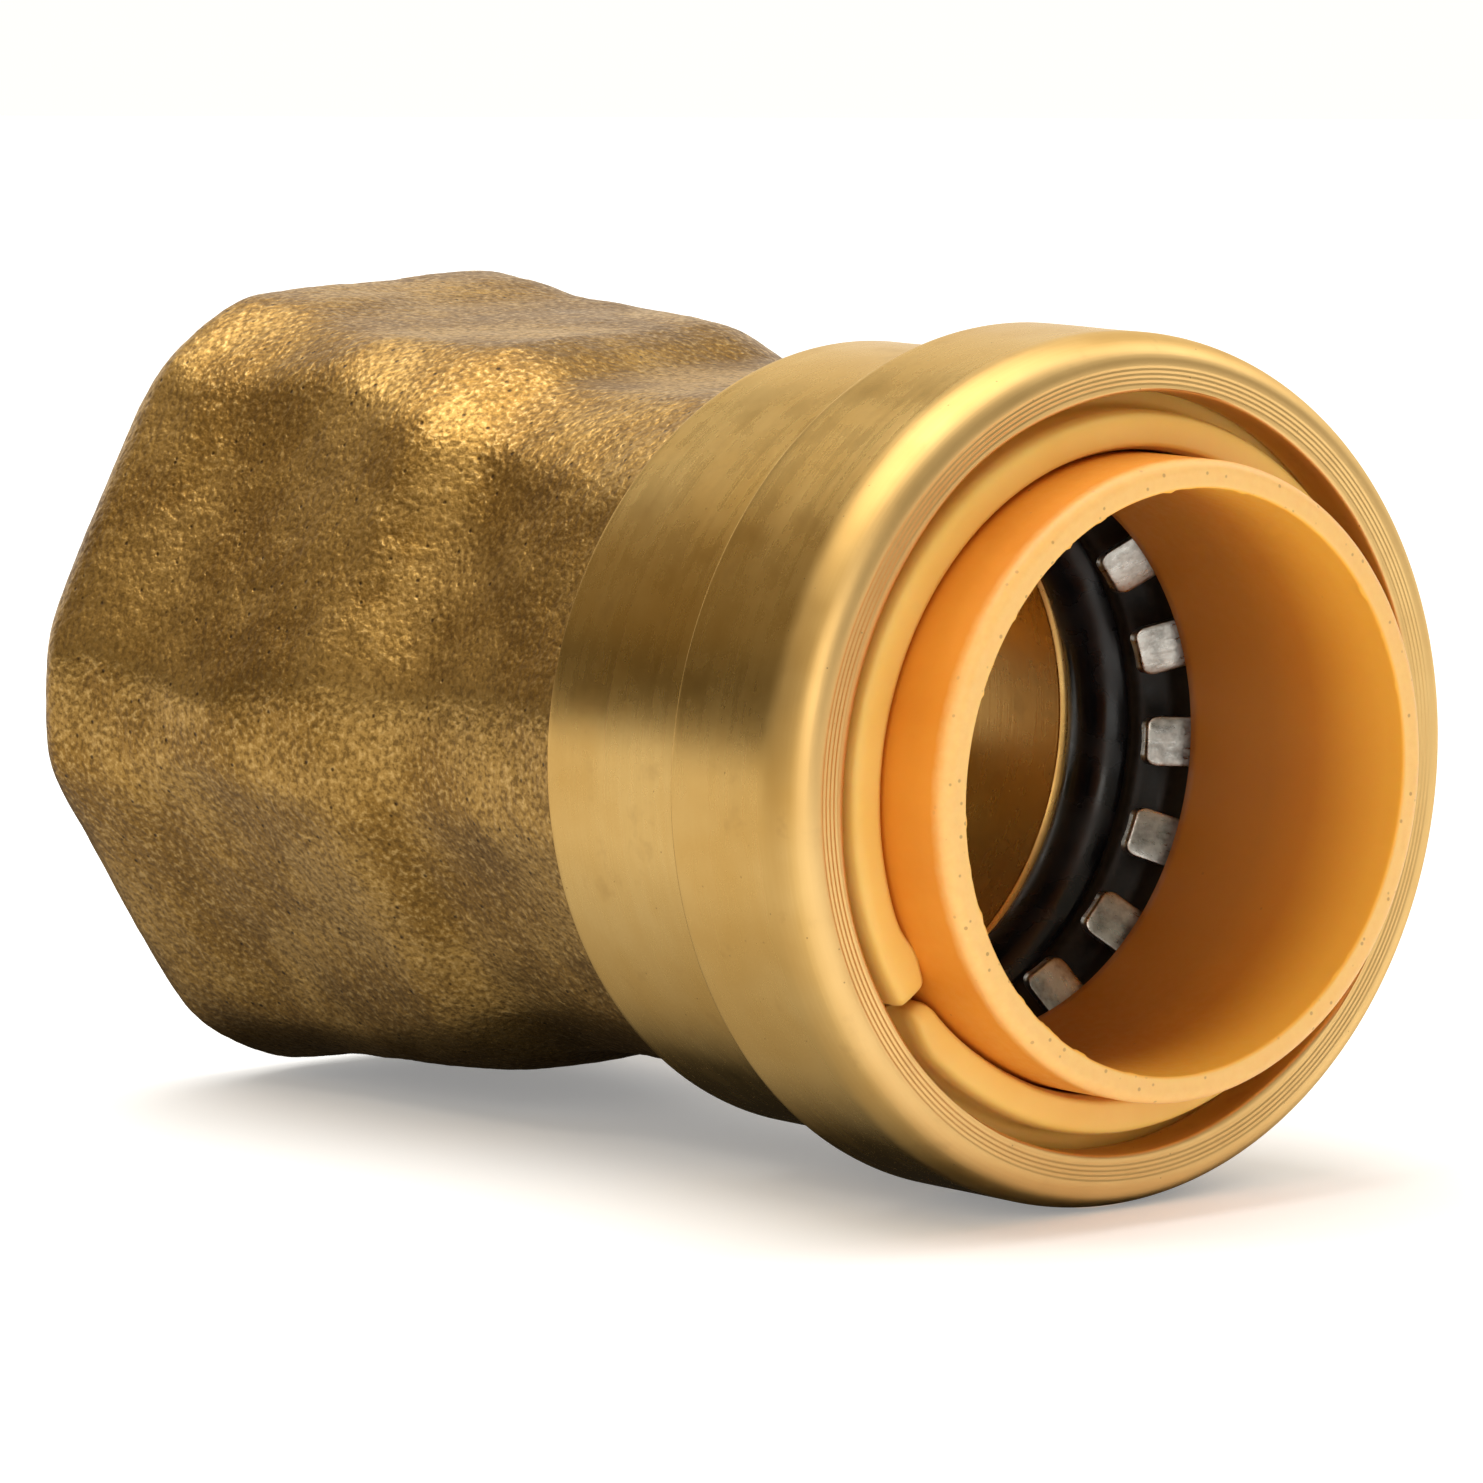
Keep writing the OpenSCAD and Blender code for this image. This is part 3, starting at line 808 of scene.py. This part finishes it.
# The collar's rim colour is partly wear and partly a painted highlight.
orange = moulded_plastic("orange_acetal", (0.76, 0.27, 0.024), (0.70, 0.23, 0.017),
                         rim_x=COLLAR_X - 0.7, rim_r=COLLAR_BORE_R, rim_wear_and_highlight_color=(0.93, 0.58, 0.20))
place(build_retaining_ring(pale), "housing", "retaining_ring", "pale_plastic")
place(build_collar(orange), "collar", "release_collar", "orange_plastic")
place(build_protector(black_plastic()), "housing", "seal_protector", "black_plastic")
place(build_seal(black_rubber()), "housing", "o_ring", "black_rubber")

grip = place(build_grip(spring_steel()), None, "grab_ring", "spring_steel")
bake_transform(grip)


# ---- Studio ----

FLOOR_Z = -17.0
CAMERA_AT = (303.892, -230.895, 44.891)
CAMERA_TOWARD = (-0.76339, 0.63354, -0.12594)
CAMERA_LENS = 218.476
SENSOR = 36.0
FLAG_FACING = (0.45, 0.85, 0.0)
FLAG_WIDTH = 700


def emitter(name, color, strength):
    """Plain glowing material for a card."""
    material = bpy.data.materials.new(name)
    material.use_nodes = True
    tree = material.node_tree
    tree.nodes.remove(tree.nodes["Principled BSDF"])
    glow = tree.nodes.new("ShaderNodeEmission")
    glow.inputs["Color"].default_value = (*color, 1)
    glow.inputs["Strength"].default_value = strength
    tree.links.new(glow.outputs[0], tree.nodes["Material Output"].inputs["Surface"])
    return material


def painted_shadow_emitter(name, reach):
    """Painted contact shadow for a card seen only in reflections: dark under the part and brighter away from
    its axis, reach in millimetres.
    """
    material = emitter(name, (0, 0, 0), 1.0)
    tree = material.node_tree
    place = tree.nodes.new("ShaderNodeTexCoord")
    split = tree.nodes.new("ShaderNodeSeparateXYZ")
    scale = tree.nodes.new("ShaderNodeMath")
    scale.operation = "MULTIPLY"
    scale.inputs[1].default_value = 1 / (reach * MM)
    size = tree.nodes.new("ShaderNodeMath")
    size.operation = "ABSOLUTE"
    ramp = tree.nodes.new("ShaderNodeValToRGB")
    stops = ((0.0, 0.01), (8.5, 0.02), (11.0, 0.25), (13.5, 0.48), (20.0, 0.66), (38.0, 1.0), (reach, 1.0))
    marks = ramp.color_ramp.elements
    while len(marks) < len(stops):
        marks.new(0.5)
    for mark, (out, glow) in zip(marks, stops):
        mark.position = out / reach
        mark.color = (glow, glow * 0.96, glow * 0.88, 1)
    tree.links.new(place.outputs["Object"], split.inputs[0])
    tree.links.new(split.outputs["Y"], scale.inputs[0])
    tree.links.new(scale.outputs[0], size.inputs[0])
    tree.links.new(size.outputs[0], ramp.inputs["Fac"])
    tree.links.new(ramp.outputs["Color"], tree.nodes["Emission"].inputs["Color"])
    return material


def flat_material(name, color):
    """Plain matt material for the floor."""
    material = bpy.data.materials.new(name)
    material.use_nodes = True
    shader = material.node_tree.nodes["Principled BSDF"]
    shader.inputs["Base Color"].default_value = (*color, 1)
    shader.inputs["Roughness"].default_value = 0.9
    shader.inputs["Specular IOR Level"].default_value = 0.1
    return material


def card(name, centre, normal, width, height, material, hidden=True):
    """Flat card facing along normal, in millimetres. Hidden cards show only in reflections."""
    n = Vector(normal).normalized()
    side = n.cross(Vector((0, 0, 1)))
    side = side.normalized() if side.length > 1e-3 else Vector((1, 0, 0))
    up = side.cross(n).normalized()
    c = Vector(centre)
    signs = ((-1, -1), (1, -1), (1, 1), (-1, 1))
    corners = [c + side * (sx * width / 2) + up * (sy * height / 2) for sx, sy in signs]
    piece = make_piece(name, [tuple(p) for p in corners], [(0, 1, 2, 3)], material, smooth=False)
    if hidden:
        piece.visible_camera = False
        piece.visible_diffuse = False
        piece.visible_shadow = False
        piece.visible_transmission = False
    return piece


def area_light(name, position, target, size, energy, color=(1, 1, 1)):
    """Soft box aimed at a point, in millimetres."""
    data = bpy.data.lights.new(name, "AREA")
    data.shape = "RECTANGLE"
    data.size, data.size_y = size[0] * MM, size[1] * MM
    data.energy = energy
    data.color = color
    light = bpy.data.objects.new(name, data)
    light.location = Vector(position) * MM
    aim = Vector(target) - Vector(position)
    light.rotation_mode = "QUATERNION"
    light.rotation_quaternion = aim.to_track_quat("-Z", "Y")
    bpy.context.scene.collection.objects.link(light)
    return light


def build_studio():
    """Pale floor and backdrop, soft boxes, the world, and cards that show only in reflections, one of them a
    painted contact shadow under the part.
    """
    white = flat_material("studio_floor_white", (0.88, 0.88, 0.88))
    white.node_tree.nodes["Principled BSDF"].inputs["Emission Color"].default_value = (1, 1, 1, 1)
    white.node_tree.nodes["Principled BSDF"].inputs["Emission Strength"].default_value = 0.25
    card("studio_floor", (0, 0, FLOOR_Z), (0, 0, 1), 12000, 12000, white, hidden=False)
    card("studio_backdrop", (-520, 470, 235), (0.74, -0.67, 0), 2400, 520,
         emitter("studio_backdrop_white", (1, 0.98, 0.93), 1.05), hidden=False)
    world = bpy.data.worlds.new("studio_world")
    world.use_nodes = True
    world.node_tree.nodes["Background"].inputs["Color"].default_value = (1.0, 0.90, 0.70, 1)
    world.node_tree.nodes["Background"].inputs["Strength"].default_value = 0.32
    bpy.context.scene.world = world
    card("studio_flag_low", (-120, -230, 53), FLAG_FACING, FLAG_WIDTH, 82,
         emitter("studio_flag_dark", (0.095, 0.073, 0.034), 1.0))
    card("studio_strip_low", (-120, -230, -2.5), FLAG_FACING, FLAG_WIDTH, 29,
         emitter("studio_strip_pale", (0.92, 0.89, 0.82), 1.0))
    card("studio_flag_high", (-121, -232, 200), FLAG_FACING, FLAG_WIDTH, 212,
         emitter("studio_flag_warm", (0.22, 0.165, 0.08), 1.0))
    card("studio_flag_front", (480, -95, -8), (-1, 0.2, 0), 240, 100,
         emitter("studio_flag_grey", (0.10, 0.09, 0.08), 1.0))
    # Painted shadow: a dark card under the part stands in for its contact shadow in reflections.
    card("studio_shadow_card_under", (-60, 0, FLOOR_Z + 0.05), (0, 0, 1), 218, 300,
         painted_shadow_emitter("studio_painted_contact_shadow", 150.0))
    area_light("studio_top_box", (-190, -60, 700), (-190, -60, 0), (780, 780), 6.0)
    area_light("studio_rear_box", (120, 600, 560), (0, 0, 0), (500, 500), 1.8)
    area_light("studio_side_box", (-130, -330, 380), (0, 0, 0), (110, 110), 0.3, (1.0, 0.96, 0.88))
    area_light("studio_mouth_box", (300, -350, 150), (48, 0, 0), (240, 240), 0.55, (1.0, 0.96, 0.9))


def build_camera():
    """Camera at the photograph's viewing angle."""
    data = bpy.data.cameras.new("photo_camera")
    data.sensor_width = SENSOR
    data.lens = CAMERA_LENS
    data.clip_start, data.clip_end = 0.01, 50.0
    camera = bpy.data.objects.new("photo_camera", data)
    camera.location = Vector(CAMERA_AT) * MM
    camera.rotation_mode = "QUATERNION"
    camera.rotation_quaternion = Vector(CAMERA_TOWARD).to_track_quat("-Z", "Y")
    bpy.context.scene.collection.objects.link(camera)
    bpy.context.scene.camera = camera


build_studio()
build_camera()
bpy.context.scene.view_settings.view_transform = "Standard"
bpy.context.scene.view_settings.look = "None"
